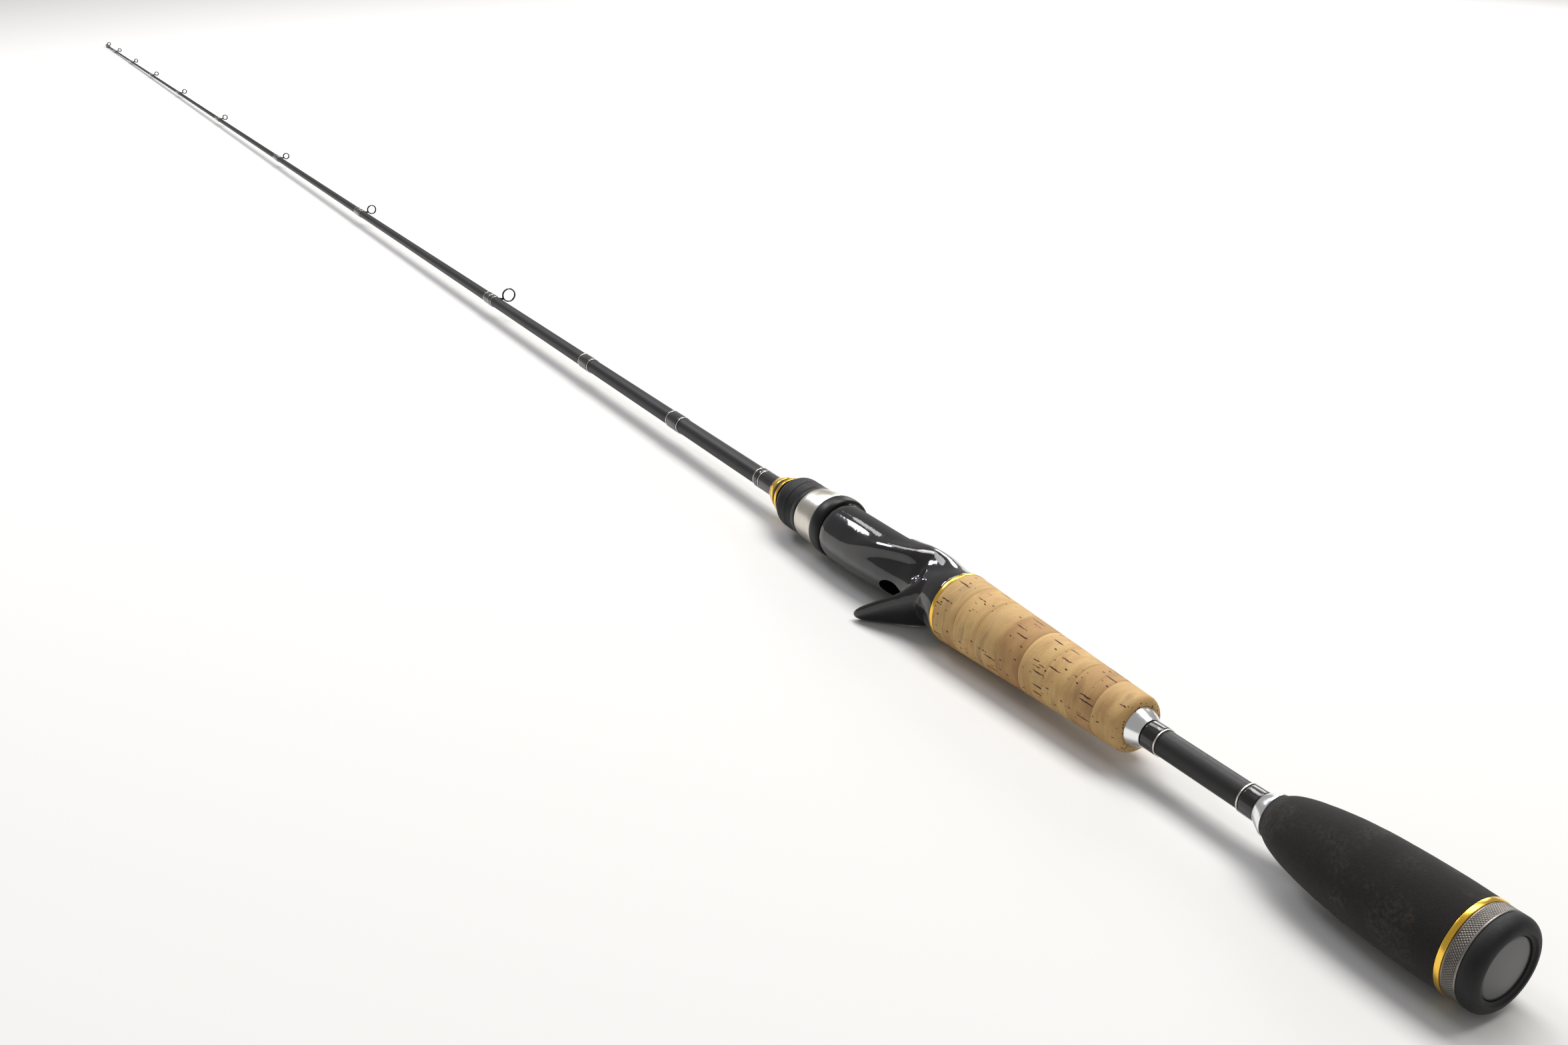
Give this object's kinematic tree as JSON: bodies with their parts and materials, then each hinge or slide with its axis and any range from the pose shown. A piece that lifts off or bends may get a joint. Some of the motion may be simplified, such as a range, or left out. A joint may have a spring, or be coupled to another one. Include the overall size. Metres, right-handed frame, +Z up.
{
  "type": "casting rod",
  "caption": "Casting rod with a trigger reel seat, a foam butt grip, a cork fore grip, a screw-down hood and small line guides; no reel fitted.",
  "frame": {"origin": "on the surface that the lying rod rests on, under the middle of its bounding box", "axes": "+X from the butt towards the tip, +Z up, +Y to the side that the trigger points to"},
  "size_m": [2.0298, 0.041, 0.0312],
  "materials": {
    "carbon_blank": "fine matte clear over carbon",
    "butt_rubber": "matte",
    "grey_disc": "satin",
    "plug_aluminium": "turned",
    "gunmetal": "knurled, anodised gunmetal",
    "gold_anodised": "polished, anodised gold",
    "foam_grip": null,
    "polished_aluminium": "polished, turned",
    "silver_thread": "metallic thread under varnish",
    "varnished_wrap": "thread under high-gloss epoxy",
    "cork": "sanded natural cork",
    "seat_black": "high gloss",
    "arbor_plastic": "plain",
    "hood_silver": "satin, champagne anodised",
    "soft_ring": "satin",
    "nut_black": "knurled, satin",
    "guide_metal": "dark chromed",
    "guide_ceramic": "polished dark ceramic"
  },
  "bodies": {
    "rod": {"blank": "carbon_blank", "butt_cap": "butt_rubber", "butt_disc": "grey_disc", "butt_gold_ring": "gold_anodised", "butt_plug": "plug_aluminium", "cork_ring_1": "cork", "cork_ring_2": "cork", "cork_ring_3": "cork", "cork_ring_4": "cork", "cork_ring_5": "cork", "cork_ring_6": "cork", "cork_ring_7": "cork", "cork_ring_8": "cork", "cork_winding_check": "polished_aluminium", "decor_silver_trims": "silver_thread", "decor_wraps": "varnished_wrap", "fore_handle_wrap": "varnished_wrap", "fore_silver_trim": "silver_thread", "front_arbor": "arbor_plastic", "front_silver_trims": "silver_thread", "front_wrap": "varnished_wrap", "guide_frame_1": "guide_metal", "guide_frame_2": "guide_metal", "guide_frame_3": "guide_metal", "guide_frame_4": "guide_metal", "guide_frame_5": "guide_metal", "guide_frame_6": "guide_metal", "guide_frame_7": "guide_metal", "guide_frame_8": "guide_metal", "guide_ring_1": "guide_ceramic", "guide_ring_2": "guide_ceramic", "guide_ring_3": "guide_ceramic", "guide_ring_4": "guide_ceramic", "guide_ring_5": "guide_ceramic", "guide_ring_6": "guide_ceramic", "guide_ring_7": "guide_ceramic", "guide_ring_8": "guide_ceramic", "guide_wrap_1": "varnished_wrap", "guide_wrap_2": "varnished_wrap", "guide_wrap_3": "varnished_wrap", "guide_wrap_4": "varnished_wrap", "guide_wrap_5": "varnished_wrap", "guide_wrap_6": "varnished_wrap", "guide_wrap_7": "varnished_wrap", "guide_wrap_8": "varnished_wrap", "knurled_butt_ring": "gunmetal", "rear_arbor": "arbor_plastic", "rear_grip": "foam_grip", "rear_handle_wrap": "varnished_wrap", "rear_silver_trim": "silver_thread", "rear_winding_check": "polished_aluminium", "reel_seat": "seat_black", "seat_gold_ring": "gold_anodised", "tip_top_ring": "guide_ceramic", "tip_top_tube": "guide_metal"},
    "hood": {"front_hood": "hood_silver", "hood_ring": "soft_ring"},
    "nut": {"lock_nut": "nut_black", "nut_gold_ring": "gold_anodised", "nut_gold_cone": "gold_anodised"}
  },
  "joints": [
    {"name": "hood_slide", "type": "slide", "parent": "rod", "child": "hood", "axis": [1, 0, -0.0072], "range_m": [0, 0.01]},
    {"name": "nut_turn", "type": "hinge", "parent": "hood", "child": "nut", "pos_m": [-0.67043, -0.00519, 0.01361], "axis": [1, 0, -0.0072], "range_deg": [0, 1441]}
  ],
  "couplings": [
    {"joint": "nut_turn", "follows": "hood_slide", "rad_per_m": 2513.3}
  ]
}
